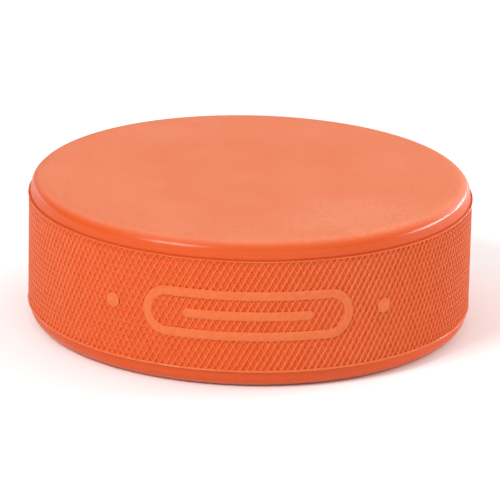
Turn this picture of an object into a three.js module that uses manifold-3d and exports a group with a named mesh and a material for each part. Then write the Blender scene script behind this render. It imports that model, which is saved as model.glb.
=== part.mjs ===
// Weighted ice hockey training puck: orange rubber moulded around a perforated steel ballast disc.
// The rubber is laid up as a lower half, a knurled ring around the rim and an upper half.
// Millimetres, +Z up, with the origin at the centre of the face that the puck rests on.

import * as THREE from 'three';
import { mergeVertices } from 'three/addons/utils/BufferGeometryUtils.js';
import Module from 'manifold-3d';

const wasm = await Module();
wasm.setup();

// Outer size: the standard puck, 3 in across and 1 in thick.
const puckRadius = 76.2 / 2;
const puckThickness = 25.4;

// Smooth shoulders above and below the knurled rim. Each falls away from its flat face in a crown,
// which would meet the steep wall at a corner, and the corner is rounded off. The wall is set in
// from the rim, which leaves a narrow ledge. Distances in from the rim's widest circle are called
// reach, and distances down from the flat face are called drop.
const shoulderHeight = 3.05;
const flatReach = 3.4; // where the flat face ends
const cornerReach = 0.57;
const cornerDrop = 1.36;
const footReach = 0.38; // foot of the wall, on the ledge
const cornerRound = 0.62; // length of the rounding on each side of the corner
const crownFlatPull = 1.65; // how far the crown keeps the direction of the flat face
const crownCornerPull = 0.66; // how far the crown keeps its 45 degree fall before the corner
const crownSteps = 6;
const cornerSteps = 4;

// Knurled ring, modelled plain at the height of its rib tops, with a bead along each edge that
// makes the puck's widest circle.
const rimRecess = 0.1; // rib tops lie this far inside the beads
const beadHeight = 0.35;
const bandInnerRadius = 32;

// Steel ballast disc, 1/4 in plate, centred in the thickness.
const discRadius = bandInnerRadius;
const discThickness = 6.35;
const centreHoleRadius = 4;
const bondHoleRadius = 3;
const bondHoleCount = 8;
const bondCircleRadius = 22;

// Facets around each turned piece and around each hole.
const turnSegments = 96;
const holeSegments = 24;

// Heights that follow from the dimensions above.
const discBottom = (puckThickness - discThickness) / 2;
const discTop = discBottom + discThickness;
const bandBottom = shoulderHeight;
const bandTop = puckThickness - shoulderHeight;
const pegOverlap = 1; // pegs start this far inside the lower half, so that they join it

// One point of a profile that is turned about Z: x is the radius, y the height.
function at(radius, height) {
  return new THREE.Vector2(radius, height);
}

// Turns a profile about the Z axis.
function turned(profile) {
  const geometry = new THREE.LatheGeometry(profile, turnSegments);
  geometry.rotateX(Math.PI / 2);
  return geometry;
}

// A round bar standing on Z, used for the holes and for the rubber that fills them.
function bar(radius, x, y, bottom, top) {
  const geometry = new THREE.CylinderGeometry(radius, radius, top - bottom, holeSegments);
  geometry.rotateX(Math.PI / 2);
  geometry.translate(x, y, (bottom + top) / 2);
  return geometry;
}

// A closed geometry as a solid that can be joined and cut.
function solid(geometry) {
  const bare = geometry.clone();
  bare.deleteAttribute('normal');
  bare.deleteAttribute('uv');
  const merged = mergeVertices(bare, 1e-4);
  const index = merged.index.array;
  const triangles = [];
  for (let i = 0; i < index.length; i += 3) {
    const [a, b, c] = index.slice(i, i + 3);
    if (a !== b && b !== c && c !== a) {
      triangles.push(a, b, c);
    }
  }
  const vertProperties = new Float32Array(merged.attributes.position.array);
  const triVerts = new Uint32Array(triangles);
  return new wasm.Manifold(new wasm.Mesh({ numProp: 3, vertProperties, triVerts }));
}

// A solid back as a geometry.
function geometryOf(body) {
  const mesh = body.getMesh();
  const geometry = new THREE.BufferGeometry();
  geometry.setAttribute('position', new THREE.BufferAttribute(new Float32Array(mesh.vertProperties), 3));
  geometry.setIndex(new THREE.BufferAttribute(new Uint32Array(mesh.triVerts), 1));
  geometry.computeVertexNormals();
  return geometry;
}

// The shoulder from the end of the flat face out to the foot of its wall, for a face at the given
// height. inward is -1 below a top face and +1 above a bottom face.
function shoulder(faceHeight, inward) {
  const place = (reach, drop) => at(puckRadius - reach, faceHeight + inward * drop);
  const corner = place(cornerReach, cornerDrop);
  const foot = place(footReach, shoulderHeight);
  const towardsFace = at(-1, -inward).normalize();
  const towardsFoot = foot.clone().sub(corner).normalize();
  const crownEnd = corner.clone().addScaledVector(towardsFace, cornerRound);
  const wallStart = corner.clone().addScaledVector(towardsFoot, cornerRound);
  const crown = new THREE.CubicBezierCurve(
    place(flatReach, 0),
    place(flatReach - crownFlatPull, 0),
    crownEnd.clone().addScaledVector(towardsFace, crownCornerPull),
    crownEnd,
  );
  const rounding = new THREE.QuadraticBezierCurve(crownEnd, corner, wallStart);
  return [...crown.getPoints(crownSteps), ...rounding.getPoints(cornerSteps).slice(1), foot];
}

// Centres of the holes in the disc: one in the middle and a ring of smaller ones.
function holes() {
  const list = [{ radius: centreHoleRadius, x: 0, y: 0 }];
  for (let i = 0; i < bondHoleCount; i += 1) {
    const angle = (2 * Math.PI * i) / bondHoleCount;
    const x = bondCircleRadius * Math.cos(angle);
    const y = bondCircleRadius * Math.sin(angle);
    list.push({ radius: bondHoleRadius, x, y });
  }
  return list;
}

// Steel disc that brings the puck up to its training weight.
function ballastDisc() {
  const profile = [at(0, discBottom), at(discRadius, discBottom), at(discRadius, discTop), at(0, discTop)];
  let body = solid(turned(profile));
  for (const { radius, x, y } of holes()) {
    body = body.subtract(solid(bar(radius, x, y, discBottom - pegOverlap, discTop + pegOverlap)));
  }
  return geometryOf(body);
}

// Ring around the rim that carries the knurl between its two beads.
function knurledBand() {
  const ribRadius = puckRadius - rimRecess;
  return turned([
    at(bandInnerRadius, bandBottom),
    at(puckRadius, bandBottom),
    at(puckRadius, bandBottom + beadHeight),
    at(ribRadius, bandBottom + beadHeight + rimRecess),
    at(ribRadius, bandTop - beadHeight - rimRecess),
    at(puckRadius, bandTop - beadHeight),
    at(puckRadius, bandTop),
    at(bandInnerRadius, bandTop),
    at(bandInnerRadius, bandBottom),
  ]);
}

// Lower half: resting face, shoulder, the layer under the disc, and pegs through the disc's holes.
function lowerHalf() {
  const profile = [
    at(0, 0),
    ...shoulder(0, 1),
    at(bandInnerRadius, bandBottom),
    at(bandInnerRadius, discBottom),
    at(0, discBottom),
  ];
  let body = solid(turned(profile));
  for (const { radius, x, y } of holes()) {
    body = body.add(solid(bar(radius, x, y, discBottom - pegOverlap, discTop)));
  }
  return geometryOf(body);
}

// Upper half: top face, shoulder and the layer over the disc.
function upperHalf() {
  return turned([
    at(0, discTop),
    at(bandInnerRadius, discTop),
    at(bandInnerRadius, bandTop),
    ...shoulder(puckThickness, -1).reverse(),
    at(0, puckThickness),
  ]);
}

const smoothRubber = new THREE.MeshStandardMaterial({ color: 0xf07a4c, roughness: 0.6, metalness: 0 });
const knurledRubber = new THREE.MeshStandardMaterial({ color: 0xe8602f, roughness: 0.75, metalness: 0 });
const steel = new THREE.MeshStandardMaterial({ color: 0x9a9da1, roughness: 0.4, metalness: 1 });

// Adds one named piece to the puck.
function addPiece(group, name, geometry, material) {
  const piece = new THREE.Mesh(geometry, material);
  piece.name = name;
  group.add(piece);
}

const puck = new THREE.Group();
addPiece(puck, 'lower_rubber_half', lowerHalf(), smoothRubber);
addPiece(puck, 'weight_disc', ballastDisc(), steel);
addPiece(puck, 'knurled_band', knurledBand(), knurledRubber);
addPiece(puck, 'upper_rubber_half', upperHalf(), smoothRubber);

export default puck;
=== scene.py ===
"""Weighted ice hockey training puck: its visual model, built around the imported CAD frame."""
import math

import bmesh
import bpy
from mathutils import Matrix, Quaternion, Vector, noise


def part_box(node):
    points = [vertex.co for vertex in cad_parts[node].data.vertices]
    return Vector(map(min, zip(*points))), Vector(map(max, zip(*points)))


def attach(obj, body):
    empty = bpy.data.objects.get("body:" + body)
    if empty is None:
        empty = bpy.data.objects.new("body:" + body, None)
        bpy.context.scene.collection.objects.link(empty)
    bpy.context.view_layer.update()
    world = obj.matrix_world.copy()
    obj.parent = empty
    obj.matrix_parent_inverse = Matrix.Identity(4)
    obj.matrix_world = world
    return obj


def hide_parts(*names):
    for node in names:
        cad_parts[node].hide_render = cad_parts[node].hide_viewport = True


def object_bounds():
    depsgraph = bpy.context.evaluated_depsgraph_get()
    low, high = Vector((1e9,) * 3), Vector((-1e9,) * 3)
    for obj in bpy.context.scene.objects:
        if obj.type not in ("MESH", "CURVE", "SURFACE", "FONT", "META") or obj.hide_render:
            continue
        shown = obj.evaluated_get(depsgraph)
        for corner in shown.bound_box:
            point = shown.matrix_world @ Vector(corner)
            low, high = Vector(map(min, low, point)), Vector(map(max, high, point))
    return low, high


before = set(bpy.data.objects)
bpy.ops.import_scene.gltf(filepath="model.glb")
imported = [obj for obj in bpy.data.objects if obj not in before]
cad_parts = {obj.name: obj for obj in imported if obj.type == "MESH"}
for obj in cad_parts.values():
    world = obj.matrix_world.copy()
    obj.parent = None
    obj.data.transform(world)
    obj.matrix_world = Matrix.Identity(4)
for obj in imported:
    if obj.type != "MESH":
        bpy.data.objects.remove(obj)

CAD_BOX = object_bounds()
MM = 0.001

# Sizes read from the frame, in metres.
BAND_LOW, BAND_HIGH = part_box("knurled_band")
DISC_LOW, DISC_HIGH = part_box("weight_disc")
LOW, HIGH = CAD_BOX
CENTRE = (LOW + HIGH) / 2
PUCK_RADIUS = (HIGH.x - LOW.x) / 2
CORE_RADIUS = (DISC_HIGH.x - DISC_LOW.x) / 2
SHOULDER_HEIGHT = BAND_LOW.z

# Shoulder profile, as in the CAD: a crown, a rounded corner and a steep wall that is set in from
# the rim. Reach is a distance in from the widest circle, and drop is a distance down from the
# flat face. The lower edge of the wall turns in by FOOT_ROUND. Here and below, a wander is the
# distance over which an unevenness changes.
FLAT_REACH = 3.4 * MM
CORNER_REACH = 0.57 * MM
CORNER_DROP = 1.36 * MM
CORNER_ROUND = 0.62 * MM
FOOT_REACH = 0.38 * MM
FOOT_ROUND = 0.05 * MM
CROWN_FLAT_PULL = 1.65 * MM
CROWN_CORNER_PULL = 0.66 * MM
CROWN_STEPS = 20
CORNER_STEPS = 8
WALL_STEPS = 5
TURN_STEPS = 480
SHOULDER_UNEVENNESS = 0.02 * MM
SHOULDER_WANDER = 9 * MM

# Rings of points on each flat face, as shares of the puck's radius.
FLAT_RINGS = (0.15, 0.3, 0.45, 0.6, 0.72, 0.82, 0.88)

# Holes of the ballast disc, which the lower half's pegs fill, as in the CAD.
CENTRE_HOLE_RADIUS = 4 * MM
BOND_HOLE_RADIUS = 3 * MM
BOND_HOLE_COUNT = 8
BOND_CIRCLE_RADIUS = 22 * MM
PEG_OVERLAP = 1 * MM
PEG_STEPS = 32

# Knurl: two families of thin ribs that cross, with a sunken diamond between them. Ribs that rise
# to the right run on unbroken; those that rise to the left dip between them. The rib tops lie
# inside the puck's widest circle, which the beads of flash make.
RIM_RECESS = 0.1 * MM
RIB_RADIUS = PUCK_RADIUS - RIM_RECESS
RIBS_AROUND = 209
KNURL_ROWS = 18
RIB_HALF_WIDTH = 0.08 * MM
RIB_HALF_HEIGHT = 0.135 * MM
RIB_DIP = 0.16 * MM
RIB_UNEVENNESS = 0.02 * MM
RIB_WANDER = 2.2 * MM
PIT_DEPTH = 0.26 * MM
PIT_UNEVENNESS = 0.18  # share of the depth
PIT_WANDER = 1.7 * MM
PIT_FLOOR = 0.62  # width of the floor as a share of the pit's mouth
SHARP_ANGLE = math.radians(25)

# Plain borders of the knurl. Each has an uneven bead of flash along it, and behind the bead a
# ledge that runs in to the foot of the shoulder's wall. The lines across a border are given from
# the knurl to the wall: height above the band's edge, distance out from the rib tops and share of
# the bead's unevenness.
TOP_LAND = 0.36 * MM
TOP_UNEVENNESS = 0.03 * MM
TOP_BORDER = (
    (-0.31 * MM, 0.02 * MM, 0),
    (-0.26 * MM, 0.08 * MM, 1),
    (-0.2 * MM, 0.1 * MM, 1),
    (-0.15 * MM, 0.05 * MM, 1),
    (-0.17 * MM, -0.1 * MM, 0.5),
    (-0.2 * MM, -0.2 * MM, 0),
    (-0.2 * MM, -0.3 * MM, 0),
    (0, -0.3 * MM, 0),
)
BOTTOM_LAND = 0.22 * MM
BOTTOM_UNEVENNESS = 0.06 * MM
BOTTOM_BORDER = (
    (0.16 * MM, 0.02 * MM, 0),
    (0.09 * MM, 0.08 * MM, 1),
    (0, 0.1 * MM, 1),
    (-0.07 * MM, 0.05 * MM, 1),
    (-0.02 * MM, -0.1 * MM, 0.5),
    (0, -0.3 * MM, 0),
)
FLASH_FINE_WANDER = 1.6 * MM
FLASH_COARSE_WANDER = 7 * MM
FLASH_COARSE_SHARE = 0.7

# Smooth raised marks on the rim: a long racetrack with a bar in it, and a dot at each side.
MARK_TOP = 0.07 * MM
MARK_DEPTH = 0.6 * MM
MARK_EDGE = 0.14 * MM
MARK_BEVEL = 0.3  # share of the edge at the middle of its rounding
STROKE = 1.6 * MM
TRACK_WIDTH = 36 * MM
TRACK_HEIGHT = 8.6 * MM
BAR_WIDTH = 22 * MM
DOT_RADIUS = 1.3 * MM
DOT_OFFSET = 24 * MM
MARK_HEIGHT = CENTRE.z
TRACK_END_STEPS = 24
BAR_END_STEPS = 10
DOT_STEPS = 28
WELD_DISTANCE = 0.001 * MM

# Seeds of the noise that makes each feature uneven.
TOP_SHELL_SEED = 3
BOTTOM_SHELL_SEED = 7
RIB_SEED = 11
PIT_SEED = 5
FLASH_FINE_SEED = 21
FLASH_COARSE_SEED = 22

# Camera, with its distance in metres and its lens in millimetres.
CAMERA_DISTANCE = 0.74
CAMERA_ELEVATION = math.radians(18.2)
CAMERA_ROLL = math.radians(1.18)
CAMERA_LENS = 309.4
CAMERA_SHIFT = (0.001, -0.0112)


def make_camera():
    """The camera, at the photograph's viewing angle."""
    data = bpy.data.cameras.new("camera")
    data.lens = CAMERA_LENS
    data.shift_x, data.shift_y = CAMERA_SHIFT
    data.clip_start = 0.01
    camera = bpy.data.objects.new("camera", data)
    back = Vector((0, -math.cos(CAMERA_ELEVATION), math.sin(CAMERA_ELEVATION)))
    camera.location = CENTRE + back * CAMERA_DISTANCE
    camera.rotation_mode = "QUATERNION"
    roll = Quaternion((0, 0, 1), CAMERA_ROLL)
    camera.rotation_quaternion = (-back).to_track_quat("-Z", "Y") @ roll
    bpy.context.scene.collection.objects.link(camera)
    bpy.context.scene.camera = camera


make_camera()


# ---------------------------------------------------------------- mesh helpers

def make_object(name, verts, faces):
    """A smooth-shaded mesh object from points and faces."""
    mesh = bpy.data.meshes.new(name)
    mesh.from_pydata(verts, [], faces)
    mesh.validate()
    mesh.shade_smooth()
    made = bpy.data.objects.new(name, mesh)
    bpy.context.scene.collection.objects.link(made)
    return made


def on_rim(arc, height, radius):
    """A point at an arc length round the rim, counted from the -Y side towards +X."""
    angle = arc / RIB_RADIUS
    return Vector((radius * math.sin(angle), -radius * math.cos(angle), height))


def wobble(place, wander, seed):
    """Smooth noise from about -1 to 1 whose bumps are about wander metres apart."""
    return noise.noise(place / wander + Vector((seed, 2 * seed, 3 * seed)))


def unite(target, other):
    """Joins another closed solid to the target and removes the other one."""
    modifier = target.modifiers.new("unite", "BOOLEAN")
    modifier.operation = "UNION"
    modifier.solver = "MANIFOLD"
    modifier.object = other
    depsgraph = bpy.context.evaluated_depsgraph_get()
    result = bpy.data.meshes.new_from_object(target.evaluated_get(depsgraph))
    target.modifiers.clear()
    target.data = result
    bpy.data.objects.remove(other)


# ---------------------------------------------------------------- turned rubber halves

def bezier(controls, share):
    """A point on the curve that a list of control points sets out."""
    while len(controls) > 1:
        controls = [a.lerp(b, share) for a, b in zip(controls, controls[1:])]
    return controls[0]


def shoulder(face_height, inward):
    """Profile points (radius, height) from the end of the flat face out to the foot of the wall.
    inward is -1 below a top face and +1 above a bottom face."""

    def place(reach, drop):
        return Vector((PUCK_RADIUS - reach, face_height + inward * drop))

    corner = place(CORNER_REACH, CORNER_DROP)
    foot = place(FOOT_REACH, SHOULDER_HEIGHT - FOOT_ROUND)
    towards_face = Vector((-1, -inward)).normalized()
    towards_foot = (foot - corner).normalized()
    crown_end = corner + towards_face * CORNER_ROUND
    wall_start = corner + towards_foot * CORNER_ROUND
    crown = [
        place(FLAT_REACH, 0),
        place(FLAT_REACH - CROWN_FLAT_PULL, 0),
        crown_end + towards_face * CROWN_CORNER_PULL,
        crown_end,
    ]
    rounding = [crown_end, corner, wall_start]
    points = [bezier(crown, i / CROWN_STEPS) for i in range(CROWN_STEPS)]
    points += [bezier(rounding, i / CORNER_STEPS) for i in range(CORNER_STEPS)]
    points += [wall_start.lerp(foot, i / WALL_STEPS) for i in range(WALL_STEPS + 1)]
    points.append(place(FOOT_REACH + FOOT_ROUND, SHOULDER_HEIGHT))
    return points


def lathe(name, profile, seed):
    """Turns a profile of (radius, height) points, from axis to axis, about the puck's axis.
    Points round the corner and on the wall are a little uneven, as moulded rubber is."""
    verts = [Vector((0, 0, profile[0].y))]
    for radius, height in profile[1:-1]:
        for step in range(TURN_STEPS):
            angle = 2 * math.pi * step / TURN_STEPS
            direction = Vector((math.sin(angle), -math.cos(angle), 0))
            place = direction * radius + Vector((0, 0, height))
            if radius > PUCK_RADIUS - CORNER_REACH - CORNER_ROUND:
                place += direction * SHOULDER_UNEVENNESS * wobble(place, SHOULDER_WANDER, seed)
            verts.append(place)
    verts.append(Vector((0, 0, profile[-1].y)))
    last = len(verts) - 1
    rings = len(profile) - 2
    faces = []
    for step in range(TURN_STEPS):
        after = (step + 1) % TURN_STEPS
        faces.append((0, 1 + after, 1 + step))
        for ring in range(rings - 1):
            low = 1 + ring * TURN_STEPS
            high = low + TURN_STEPS
            faces.append((low + step, low + after, high + after, high + step))
        top = 1 + (rings - 1) * TURN_STEPS
        faces.append((top + step, top + after, last))
    return make_object(name, verts, faces)


def point(radius, height):
    """One point of a profile."""
    return Vector((radius, height))


def flat_face(height):
    """Profile points on a flat face, from the middle outwards."""
    return [point(PUCK_RADIUS * share, height) for share in FLAT_RINGS]


def make_upper_half():
    """Top face, shoulder and the plug of rubber over the disc."""
    profile = [point(0, DISC_HIGH.z), point(CORE_RADIUS, DISC_HIGH.z), point(CORE_RADIUS, BAND_HIGH.z)]
    profile += reversed(shoulder(HIGH.z, -1))
    profile += reversed(flat_face(HIGH.z))
    profile.append(point(0, HIGH.z))
    return lathe("top_shell", profile, TOP_SHELL_SEED)


def peg(radius, x, y):
    """A round bar of rubber that fills one hole of the disc."""
    verts = []
    for height in (DISC_LOW.z - PEG_OVERLAP, DISC_HIGH.z):
        for step in range(PEG_STEPS):
            angle = 2 * math.pi * step / PEG_STEPS
            verts.append(Vector((x + radius * math.cos(angle), y + radius * math.sin(angle), height)))
    faces = [tuple(reversed(range(PEG_STEPS))), tuple(range(PEG_STEPS, 2 * PEG_STEPS))]
    for step in range(PEG_STEPS):
        after = (step + 1) % PEG_STEPS
        faces.append((step, after, PEG_STEPS + after, PEG_STEPS + step))
    return make_object("peg", verts, faces)


def make_lower_half():
    """Resting face, shoulder, the plug of rubber under the disc, and the pegs through the disc."""
    profile = [point(0, 0)]
    profile += flat_face(0)
    profile += shoulder(0, 1)
    profile += [point(CORE_RADIUS, BAND_LOW.z), point(CORE_RADIUS, DISC_LOW.z), point(0, DISC_LOW.z)]
    half = lathe("bottom_shell", profile, BOTTOM_SHELL_SEED)
    unite(half, peg(CENTRE_HOLE_RADIUS, 0, 0))
    for hole in range(BOND_HOLE_COUNT):
        angle = 2 * math.pi * hole / BOND_HOLE_COUNT
        x = BOND_CIRCLE_RADIUS * math.cos(angle)
        y = BOND_CIRCLE_RADIUS * math.sin(angle)
        unite(half, peg(BOND_HOLE_RADIUS, x, y))
    return half


# ---------------------------------------------------------------- knurled rim

class Knurl:
    """Builds the closed ring whose outside is a lattice of crossing ribs."""

    def __init__(self):
        self.verts = []
        self.faces = []
        self.low = BAND_LOW.z + BOTTOM_LAND
        self.high = BAND_HIGH.z - TOP_LAND
        self.row_height = (self.high - self.low) / KNURL_ROWS
        self.pitch = 2 * math.pi * RIB_RADIUS / RIBS_AROUND

    def add(self, arc, height, radius):
        """Adds a point and gives its number."""
        self.verts.append(on_rim(arc, height, radius))
        return len(self.verts) - 1

    def rib_point(self, arc, height, dip=0.0):
        """A point on the rib tops, which are a little uneven."""
        flat = on_rim(arc, height, RIB_RADIUS)
        unevenness = RIB_UNEVENNESS * wobble(flat, RIB_WANDER, RIB_SEED)
        return self.add(arc, height, RIB_RADIUS - dip + unevenness)

    def crossing(self, row, column):
        """Point numbers of the corners where two ribs cross, and of the dip in the rib that rises to
        the left from there. Points past a border are left out."""
        arc = (column + (row % 2) / 2) * self.pitch
        height = self.low + row * self.row_height
        here = {
            "west": self.rib_point(arc - RIB_HALF_WIDTH, height),
            "east": self.rib_point(arc + RIB_HALF_WIDTH, height),
        }
        if row > 0:
            here["south"] = self.rib_point(arc, height - RIB_HALF_HEIGHT)
        if row < KNURL_ROWS:
            here["north"] = self.rib_point(arc, height + RIB_HALF_HEIGHT)
            dip_arc = arc - self.pitch / 4
            dip_height = height + self.row_height / 2
            across = RIB_HALF_WIDTH / 2
            along = RIB_HALF_HEIGHT / 2
            here["dip_west"] = self.rib_point(dip_arc - across, dip_height - along, RIB_DIP)
            here["dip_east"] = self.rib_point(dip_arc + across, dip_height + along, RIB_DIP)
        corners = [here[name] for name in ("west", "south", "east", "north") if name in here]
        self.faces.append(tuple(corners))
        return here

    def ribs(self, here, upper_right, upper_left):
        """The stretches of rib from one crossing up to the two above it."""
        self.faces.append((here["north"], here["east"], upper_right["south"], upper_right["west"]))
        self.faces.append((here["west"], here["north"], here["dip_east"], here["dip_west"]))
        self.faces.append((here["dip_west"], here["dip_east"], upper_left["east"], upper_left["south"]))

    def pit(self, rim):
        """Sloping walls and a flat floor inside a closed rim of rib points."""
        middle = sum((self.verts[i] for i in rim), Vector()) / len(rim)
        outward = Vector((middle.x, middle.y, 0)).normalized()
        depth = PIT_DEPTH * (1 + PIT_UNEVENNESS * wobble(middle, PIT_WANDER, PIT_SEED))
        centre = outward * (RIB_RADIUS - depth) + Vector((0, 0, middle.z))
        floor = []
        for index in rim:
            spread = (self.verts[index] - centre) * PIT_FLOOR
            self.verts.append(centre + spread - outward * spread.dot(outward))
            floor.append(len(self.verts) - 1)
        count = len(rim)
        for i in range(count):
            after = (i + 1) % count
            self.faces.append((rim[i], rim[after], floor[after], floor[i]))
        self.faces.append(tuple(floor))

    def lattice(self):
        """All crossings, the ribs between them and the pits. Returns the crossings, row by row."""
        rows = range(KNURL_ROWS + 1)
        grid = [[self.crossing(row, column) for column in range(RIBS_AROUND)] for row in rows]
        for row in rows:
            for column in range(RIBS_AROUND):
                left = grid[row][column]
                right = grid[row][(column + 1) % RIBS_AROUND]
                between = (column + row % 2) % RIBS_AROUND
                rim = [right["west"]]
                if row < KNURL_ROWS:
                    above = grid[row + 1][between]
                    self.ribs(left, above, grid[row + 1][between - 1])
                    rim += [right["dip_west"], above["south"]]
                rim.append(left["east"])
                if row > 0:
                    below = grid[row - 1][between]
                    rim += [below["dip_east"], below["north"]]
                self.pit(rim)
        return grid

    def border(self, crossings):
        """The line of rib points along a border, as vertex numbers in order round the rim."""
        line = []
        for here in crossings:
            line += [here["west"], here["east"]]
        return line

    def ring(self, line, height, radius, unevenness=0.0):
        """A ring of points above or below a border line, at the same angles."""
        made = []
        for index in line:
            at = self.verts[index]
            arc = math.atan2(at.x, -at.y) * RIB_RADIUS
            fine = wobble(at, FLASH_FINE_WANDER, FLASH_FINE_SEED)
            coarse = wobble(at, FLASH_COARSE_WANDER, FLASH_COARSE_SEED)
            shift = unevenness * (fine + FLASH_COARSE_SHARE * coarse)
            made.append(self.add(arc, height + shift / 2, radius + shift))
        return made

    def border_rings(self, line, edge_height, border, unevenness):
        """The rings from a border line across its land, bead and ledge, and on to the core."""
        rings = [line]
        for height, proud, share in border:
            rings.append(self.ring(line, edge_height + height, RIB_RADIUS + proud, share * unevenness))
        rings.append(self.ring(line, edge_height, CORE_RADIUS))
        return rings

    def join(self, lower, upper):
        """Faces between two rings, the lower one first as seen from outside."""
        count = len(lower)
        for i in range(count):
            after = (i + 1) % count
            self.faces.append((lower[i], lower[after], upper[after], upper[i]))

    def build(self):
        """The whole ring: lattice, borders and the inside against the core."""
        grid = self.lattice()
        top = self.border(grid[KNURL_ROWS])
        top = self.border_rings(top, BAND_HIGH.z, TOP_BORDER, TOP_UNEVENNESS)
        bottom = self.border(grid[0])
        bottom = self.border_rings(bottom, BAND_LOW.z, BOTTOM_BORDER, BOTTOM_UNEVENNESS)
        for lower, upper in zip(top, top[1:]):
            self.join(lower, upper)
        for upper, lower in zip(bottom, bottom[1:]):
            self.join(lower, upper)
        self.join(top[-1], bottom[-1])
        return make_object("knurled_rim", self.verts, self.faces)


# ---------------------------------------------------------------- raised marks

def stadium(width, height, end_steps):
    """Points (arc, height) of a slot shape centred on the marks' height, anticlockwise. Its straight
    sides have a point about every millimetre, so that they follow the curve of the rim."""
    radius = height / 2
    half = width / 2 - radius
    straight = max(2, round(2 * half / MM))
    points = []
    for i in range(end_steps + 1):
        angle = -math.pi / 2 + math.pi * i / end_steps
        points.append(Vector((half + radius * math.cos(angle), radius * math.sin(angle))))
    for i in range(1, straight):
        points.append(Vector((half - 2 * half * i / straight, radius)))
    for i in range(end_steps + 1):
        angle = math.pi / 2 + math.pi * i / end_steps
        points.append(Vector((-half + radius * math.cos(angle), radius * math.sin(angle))))
    for i in range(1, straight):
        points.append(Vector((-half + 2 * half * i / straight, -radius)))
    return points


MARK_RADIUS = RIB_RADIUS + MARK_TOP


def rounded_edge(outline, inside):
    """The edge of a mark at one point of its outline, from its sunken foot up to its flat top, as
    pairs of a place (arc, height) and a radius."""
    edge = (inside - outline).normalized() * MARK_EDGE
    return [
        (outline, MARK_RADIUS - MARK_DEPTH),
        (outline, MARK_RADIUS - MARK_EDGE),
        (outline + edge * MARK_BEVEL, MARK_RADIUS - MARK_EDGE * MARK_BEVEL),
        (outline + edge, MARK_RADIUS),
    ]


def ring_mark(outer, inner):
    """A raised stroke that runs round between two outlines."""
    sections = []
    for out, inn in zip(outer, inner):
        sections.append(rounded_edge(out, inn) + rounded_edge(inn, out)[::-1])
    verts = []
    for section in sections:
        verts += [on_rim(place.x, MARK_HEIGHT + place.y, radius) for place, radius in section]
    size = len(sections[0])
    count = len(sections)
    faces = []
    for i in range(count):
        here = i * size
        after = ((i + 1) % count) * size
        for j in range(size):
            k = (j + 1) % size
            faces.append((here + j, after + j, after + k, here + k))
    return make_object("mark", verts, faces)


def solid_mark(outer, spine, arc_offset):
    """A raised pad filled in from its outline to a spine line or point inside it."""
    mesh = bmesh.new()
    columns = []
    for out, inn in zip(outer, spine):
        section = [(inn, MARK_RADIUS - MARK_DEPTH)] + rounded_edge(out, inn) + [(inn, MARK_RADIUS)]
        column = []
        for place, radius in section:
            column.append(mesh.verts.new(on_rim(place.x + arc_offset, MARK_HEIGHT + place.y, radius)))
        columns.append(column)
    for here, after in zip(columns, columns[1:] + columns[:1]):
        for j in range(len(here) - 1):
            mesh.faces.new((here[j], after[j], after[j + 1], here[j + 1]))
    bmesh.ops.remove_doubles(mesh, verts=mesh.verts, dist=WELD_DISTANCE)
    bmesh.ops.recalc_face_normals(mesh, faces=mesh.faces)
    made = make_object("mark", [], [])
    mesh.to_mesh(made.data)
    mesh.free()
    made.data.shade_smooth()
    return made


def marks():
    """The raised marks, each a closed solid sunk a little way into the rim."""
    outer = stadium(TRACK_WIDTH, TRACK_HEIGHT, TRACK_END_STEPS)
    inner = stadium(TRACK_WIDTH - 2 * STROKE, TRACK_HEIGHT - 2 * STROKE, TRACK_END_STEPS)
    yield ring_mark(outer, inner)
    outline = stadium(BAR_WIDTH, STROKE, BAR_END_STEPS)
    half = (BAR_WIDTH - STROKE) / 2
    spine = [Vector((max(-half, min(half, place.x)), 0)) for place in outline]
    yield solid_mark(outline, spine, 0)
    circle = []
    for step in range(DOT_STEPS):
        angle = 2 * math.pi * step / DOT_STEPS
        circle.append(Vector((math.cos(angle), math.sin(angle))) * DOT_RADIUS)
    for side in (-1, 1):
        yield solid_mark(circle, [Vector((0, 0))] * DOT_STEPS, side * DOT_OFFSET)


def make_rim():
    """The knurled ring with the marks joined to it."""
    rim = Knurl().build()
    for mark in marks():
        unite(rim, mark)
    rim.data.set_sharp_from_angle(angle=SHARP_ANGLE)
    return rim


# ---------------------------------------------------------------- materials

def add_node(tree, kind, **settings):
    """A shader node with the given settings."""
    made = tree.nodes.new(kind)
    for name, value in settings.items():
        setattr(made, name, value)
    return made


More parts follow.
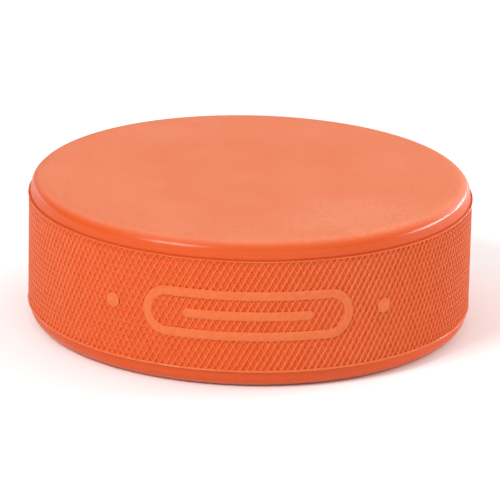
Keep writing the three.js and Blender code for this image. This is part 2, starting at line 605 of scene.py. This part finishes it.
class Material:
    """A procedural material whose patterns are placed in the row frame."""

    def __init__(self, name):
        self.material = bpy.data.materials.new(name)
        self.material.use_nodes = True
        self.tree = self.material.node_tree
        self.shader = self.tree.nodes["Principled BSDF"]
        self.place = add_node(self.tree, "ShaderNodeTexCoord").outputs["Object"]

    def link(self, source, target):
        self.tree.links.new(source, target)

    def radius(self):
        """Distance from the puck's axis, in metres."""
        flat = add_node(self.tree, "ShaderNodeVectorMath", operation="MULTIPLY")
        flat.inputs[1].default_value = (1, 1, 0)
        self.link(self.place, flat.inputs[0])
        length = add_node(self.tree, "ShaderNodeVectorMath", operation="LENGTH")
        self.link(flat.outputs[0], length.inputs[0])
        return length.outputs["Value"]

    def distance(self, middle):
        """Distance from a point, in metres."""
        made = add_node(self.tree, "ShaderNodeVectorMath", operation="DISTANCE")
        made.inputs[1].default_value = middle
        self.link(self.place, made.inputs[0])
        return made.outputs["Value"]

    def depth_below_face(self):
        """Distance from the nearer of the two flat faces, in metres."""
        parts = add_node(self.tree, "ShaderNodeSeparateXYZ")
        self.link(self.place, parts.inputs[0])
        above_middle = self.work_out("SUBTRACT", parts.outputs["Z"], CENTRE.z)
        from_middle = self.work_out("ABSOLUTE", above_middle)
        return self.work_out("SUBTRACT", HIGH.z - CENTRE.z, from_middle)

    def ramp(self, source, low, high, out_low=0.0, out_high=1.0, smooth=True):
        """source from low to high, spread over out_low to out_high."""
        made = add_node(self.tree, "ShaderNodeMapRange")
        made.interpolation_type = "SMOOTHSTEP" if smooth else "LINEAR"
        self.link(source, made.inputs["Value"])
        made.inputs["From Min"].default_value = low
        made.inputs["From Max"].default_value = high
        made.inputs["To Min"].default_value = out_low
        made.inputs["To Max"].default_value = out_high
        return made.outputs["Result"]

    def noise(self, size, detail=2.0, roughness=0.5):
        """Noise with bumps about size metres apart."""
        made = add_node(self.tree, "ShaderNodeTexNoise")
        made.inputs["Scale"].default_value = 1 / size
        made.inputs["Detail"].default_value = detail
        made.inputs["Roughness"].default_value = roughness
        self.link(self.place, made.inputs["Vector"])
        return made.outputs["Fac"]

    def mix(self, factor, first, second):
        """A colour between first and second, each a colour or a socket."""
        made = add_node(self.tree, "ShaderNodeMix", data_type="RGBA")
        self.link(factor, made.inputs["Factor"])
        # Inputs 6 and 7 are the node's two colours, and output 2 is their mix.
        for socket, value in ((made.inputs[6], first), (made.inputs[7], second)):
            if isinstance(value, tuple):
                socket.default_value = (*value, 1)
            else:
                self.link(value, socket)
        return made.outputs[2]

    def work_out(self, operation, *values):
        """One sum on one or two values, each a number or a socket."""
        made = add_node(self.tree, "ShaderNodeMath", operation=operation)
        for socket, value in zip(made.inputs, values):
            if isinstance(value, (int, float)):
                socket.default_value = value
            else:
                self.link(value, socket)
        return made.outputs[0]

    def bump(self, height, depth, strength=1.0):
        """Fine relief, depth metres high."""
        made = add_node(self.tree, "ShaderNodeBump")
        made.inputs["Strength"].default_value = strength
        made.inputs["Distance"].default_value = depth
        self.link(height, made.inputs["Height"])
        self.link(made.outputs["Normal"], self.shader.inputs["Normal"])

    def feed(self, socket, value):
        """Links a value to one of the shader's inputs."""
        self.link(value, self.shader.inputs[socket])


# Linear colours of the rubber: on the glossy shoulders, where the pale bloom of the flat faces is full
# (a real bloom with a painted sheen put into it), and on the knurl at the bottom of the pits, on clean
# rib tops and on rib tops paler from scuffing and a painted sheen.
GLOSSY_ORANGE = (0.617, 0.074, 0.007)
BLOOM_AND_SHEEN_ORANGE = (0.715, 0.215, 0.106)
PIT_ORANGE = (0.68, 0.08, 0.006)
RIB_ORANGE = (0.66, 0.08, 0.007)
SCUFFED_SHEEN_ORANGE = (0.7, 0.205, 0.068)

# The bloom, with the painted sheen put into it, fades out between these distances in from the widest
# circle.
BLOOM_AND_SHEEN_FADES = 1.9 * MM
BLOOM_AND_SHEEN_ENDS = 0.8 * MM

# Patch on the top face where handling has rubbed the rubber paler, with a painted sheen put into the
# same paler colour: its middle, the radius where it starts to fade and the radius where it ends.
RUBBED_SHEEN_PATCH = (17.5 * MM, -21.5 * MM, HIGH.z)
RUBBED_SHEEN_CORE = 4 * MM
RUBBED_SHEEN_REACH = 15 * MM

# Sizes of the patterns on the smooth rubber and on the knurl.
BLOTCH_SIZE = 11 * MM
GRAIN_SIZE = 0.9 * MM
GRAIN_DEPTH = 0.005 * MM
SCUFF_AND_SHEEN_SIZE = 0.8 * MM
RIB_GRAIN_SIZE = 0.2 * MM
RIB_GRAIN_DEPTH = 0.008 * MM

# The flat faces' dull finish turns glossy between these distances in from the corner.
GLOSS_STARTS = 0.7 * MM
GLOSS_FULL = 0.3 * MM


def smooth_rubber():
    """Moulded orange rubber: matte with a pale bloom and a painted sheen on the flats, glossier on the
    shoulders.
    """
    m = Material("smooth_rubber")
    on_side = m.ramp(m.radius(), PUCK_RADIUS - BLOOM_AND_SHEEN_FADES, PUCK_RADIUS - BLOOM_AND_SHEEN_ENDS)
    blotches = m.ramp(m.noise(BLOTCH_SIZE, 3), 0.35, 0.7, 0.66, 0.78)
    grain = m.ramp(m.noise(GRAIN_SIZE, 3, 0.6), 0.3, 0.75)
    grain_amount = m.ramp(m.radius(), 0.4 * PUCK_RADIUS, 0.8 * PUCK_RADIUS, 0.05, 0.2)
    # Bloom and painted sheen: the flat faces get a paler colour that fades out towards the shoulders.
    bloom_and_sheen = m.work_out("ADD", blotches, m.work_out("MULTIPLY", grain, grain_amount))
    # Rubbed patch: real rubbed paleness with a painted sheen put into it.
    rubbing_and_sheen = m.ramp(m.distance(RUBBED_SHEEN_PATCH), RUBBED_SHEEN_CORE, RUBBED_SHEEN_REACH, 0.35, 0)
    bloom_and_sheen = m.work_out("ADD", bloom_and_sheen, m.work_out("MULTIPLY", grain, rubbing_and_sheen))
    bloom_and_sheen = m.work_out("MULTIPLY", bloom_and_sheen, m.ramp(on_side, 0, 1, 1, 0.06, False))
    m.feed("Base Color", m.mix(bloom_and_sheen, GLOSSY_ORANGE, BLOOM_AND_SHEEN_ORANGE))
    corner = PUCK_RADIUS - CORNER_REACH
    before_corner = m.ramp(m.radius(), corner - GLOSS_STARTS, corner - GLOSS_FULL, 0.56, 0.24)
    down_wall = m.ramp(m.depth_below_face(), CORNER_DROP, CORNER_DROP + CORNER_ROUND, 0, 0.2)
    rough = m.work_out("ADD", before_corner, down_wall)
    m.feed("Roughness", m.work_out("ADD", rough, m.work_out("MULTIPLY", grain, 0.04)))
    m.shader.inputs["IOR"].default_value = 1.34
    m.bump(m.noise(GRAIN_SIZE, 2, 0.6), GRAIN_DEPTH, 0.5)
    return m.material


def knurled_rubber():
    """The same rubber on the rim: a little deeper in the pits, with rib tops paler from faint scuffing
    and a painted sheen.
    """
    m = Material("knurled_rubber")
    height = m.ramp(m.radius(), RIB_RADIUS - PIT_DEPTH, RIB_RADIUS)
    # Scuffing and painted sheen: the rib tops are given a paler colour than the pits.
    scuff_and_sheen = m.ramp(m.noise(SCUFF_AND_SHEEN_SIZE, 3, 0.6), 0.3, 0.7)
    tops_with_sheen = m.mix(m.ramp(scuff_and_sheen, 0, 1, 0.3, 0.55, False), RIB_ORANGE, SCUFFED_SHEEN_ORANGE)
    m.feed("Base Color", m.mix(height, PIT_ORANGE, tops_with_sheen))
    m.feed("Roughness", m.ramp(scuff_and_sheen, 0, 1, 0.28, 0.42, False))
    m.shader.inputs["IOR"].default_value = 1.37
    m.bump(m.noise(RIB_GRAIN_SIZE, 2, 0.6), RIB_GRAIN_DEPTH, 0.5)
    return m.material


DARK_STEEL = (0.42, 0.43, 0.45)
PALE_STEEL = (0.6, 0.61, 0.63)
STEEL_PATCH_SIZE = 9 * MM
PITTING_SIZE = 0.4 * MM
PITTING_DEPTH = 0.01 * MM


def punched_steel():
    """Rolled steel plate with fine pitting and patches that are paler and rougher."""
    m = Material("punched_steel")
    m.shader.inputs["Metallic"].default_value = 1
    patches = m.ramp(m.noise(STEEL_PATCH_SIZE, 4), 0.3, 0.7)
    m.feed("Base Color", m.mix(patches, DARK_STEEL, PALE_STEEL))
    m.feed("Roughness", m.ramp(patches, 0, 1, 0.34, 0.5, False))
    m.bump(m.noise(PITTING_SIZE, 3), PITTING_DEPTH)
    return m.material


def studio_floor():
    """Plain matte floor, nearly white."""
    m = Material("studio_floor")
    m.shader.inputs["Base Color"].default_value = (0.93, 0.93, 0.93, 1)
    m.shader.inputs["Roughness"].default_value = 0.9
    m.shader.inputs["Specular IOR Level"].default_value = 0.1
    return m.material


def paint(obj, material):
    """Gives an object one material in place of what it has."""
    obj.data.materials.clear()
    obj.data.materials.append(material)


# ---------------------------------------------------------------- pieces on the frame

def place_piece(piece, node, material):
    """A piece that stands for one CAD node and moves with the puck."""
    paint(piece, material)
    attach(piece, "root")
    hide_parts(node)


SMOOTH = smooth_rubber()
place_piece(make_upper_half(), "upper_rubber_half", SMOOTH)
place_piece(make_lower_half(), "lower_rubber_half", SMOOTH)
place_piece(make_rim(), "knurled_band", knurled_rubber())
paint(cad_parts["weight_disc"], punched_steel())


# ---------------------------------------------------------------- studio

FLOOR_HALF_WIDTH = 6.0
FLOOR_GAP = 0.02 * MM


def make_floor():
    """The floor, a hair below the resting face."""
    half = FLOOR_HALF_WIDTH
    sides = ((-half, -half), (half, -half), (half, half), (-half, half))
    corners = [(x, y, LOW.z - FLOOR_GAP) for x, y in sides]
    floor = make_object("floor", corners, [(0, 1, 2, 3)])
    paint(floor, studio_floor())


# Soft lights: name, azimuth and elevation in degrees, distance and size in metres, power in watts.
# Azimuth 0 is the camera's side, and 90 is +X.
SOFTBOXES = (
    ("back_softbox", 108, 16, 0.9, (0.5, 0.1), 4.4),
    ("rear_softbox", 142, 10, 0.9, (0.4, 0.06), 2),
    ("key_softbox", -45, 40, 1.0, (0.34, 0.36), 6.1),
    ("front_fill", 20, 8, 0.9, (0.7, 0.1), 1.1),
    ("left_strip", -135, 6, 0.9, (0.5, 0.05), 0.3),
)

# Brightness of the surroundings by height, where 0 is the horizon and 1 is straight up: two bands,
# each with the heights where it starts and ends changing and its brightness below and above them.
# The sky is the sum of the two.
SKY_BANDS = (
    (0.14, 0.28, 0.4, 0.24),
    (0.46, 0.62, 0, 0.69),
)


def softbox(name, azimuth, elevation, distance, size, power):
    """A rectangular soft light that faces the puck."""
    data = bpy.data.lights.new(name, "AREA")
    data.shape = "RECTANGLE"
    data.size, data.size_y = size
    data.energy = power
    light = bpy.data.objects.new(name, data)
    a, e = math.radians(azimuth), math.radians(elevation)
    away = Vector((math.sin(a) * math.cos(e), -math.cos(a) * math.cos(e), math.sin(e)))
    light.location = CENTRE + away * distance
    light.rotation_euler = away.to_track_quat("Z", "Y").to_euler()
    bpy.context.scene.collection.objects.link(light)


def make_sky():
    """White surroundings: a pale horizon, a dimmer belt above it and a bright ceiling."""
    world = bpy.data.worlds.new("studio")
    world.use_nodes = True
    tree = world.node_tree
    place = add_node(tree, "ShaderNodeTexCoord")
    parts = add_node(tree, "ShaderNodeSeparateXYZ")
    tree.links.new(place.outputs["Generated"], parts.inputs[0])
    bands = []
    for low, high, out_low, out_high in SKY_BANDS:
        band = add_node(tree, "ShaderNodeMapRange")
        band.interpolation_type = "SMOOTHSTEP"
        band.inputs["From Min"].default_value = low
        band.inputs["From Max"].default_value = high
        band.inputs["To Min"].default_value = out_low
        band.inputs["To Max"].default_value = out_high
        tree.links.new(parts.outputs["Z"], band.inputs["Value"])
        bands.append(band)
    total = add_node(tree, "ShaderNodeMath", operation="ADD")
    tree.links.new(bands[0].outputs["Result"], total.inputs[0])
    tree.links.new(bands[1].outputs["Result"], total.inputs[1])
    tree.links.new(total.outputs[0], tree.nodes["Background"].inputs["Strength"])
    tree.nodes["Background"].inputs["Color"].default_value = (1, 1, 1, 1)
    bpy.context.scene.world = world


make_floor()
make_sky()
for light in SOFTBOXES:
    softbox(*light)
bpy.context.scene.view_settings.view_transform = "Standard"
